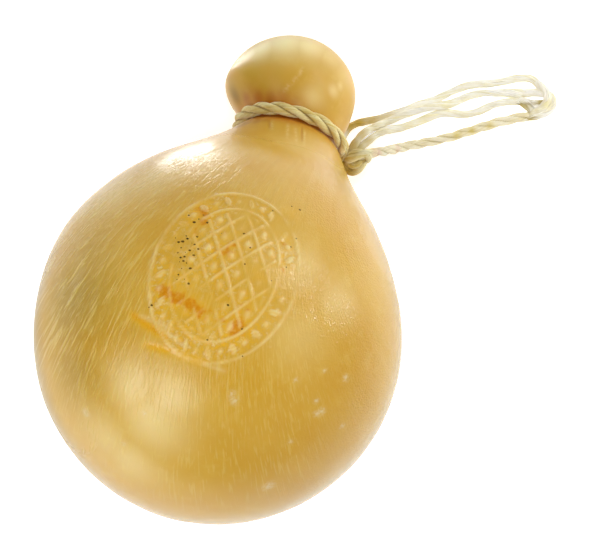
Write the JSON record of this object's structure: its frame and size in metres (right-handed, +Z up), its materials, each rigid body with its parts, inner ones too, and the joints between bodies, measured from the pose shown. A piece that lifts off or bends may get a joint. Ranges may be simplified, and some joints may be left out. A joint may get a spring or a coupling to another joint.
{
  "type": "caciocavallo cheese",
  "caption": "Whole gourd-shaped stretched-curd cheese lying on its side, with a twisted cord tied round its neck and the hanging loop laid out beside it.",
  "frame": {"origin": "middle of the flat spot under the belly, on the surface that the cheese lies on", "axes": "+Y along the surface from the belly towards the head, +X to the side that the knot and the loop lie on, +Z up"},
  "size_m": [0.183, 0.2163, 0.1428],
  "materials": {
    "golden_rind": "waxy satin cheese rind, golden tan with pale fibre streaks",
    "neck_cord_fibre": "laid cream cord",
    "neck_knot_fibre": "laid cream cord, yellowed at the knot",
    "loop_rope_fibre": "laid pale cord with yellow stains",
    "loop_ply_fibre": "loose pale fibre ply",
    "loop_end_fibre": "laid pale cord"
  },
  "bodies": {
    "root": {"cheese": "golden_rind", "neck_cord": "neck_cord_fibre", "neck_knot": "neck_knot_fibre", "loop_rope": "loop_rope_fibre", "loop_ply_a": "loop_ply_fibre", "loop_ply_b": "loop_ply_fibre", "loop_ply_c": "loop_ply_fibre", "loop_end_knot": "loop_end_fibre"}
  },
  "joints": []
}
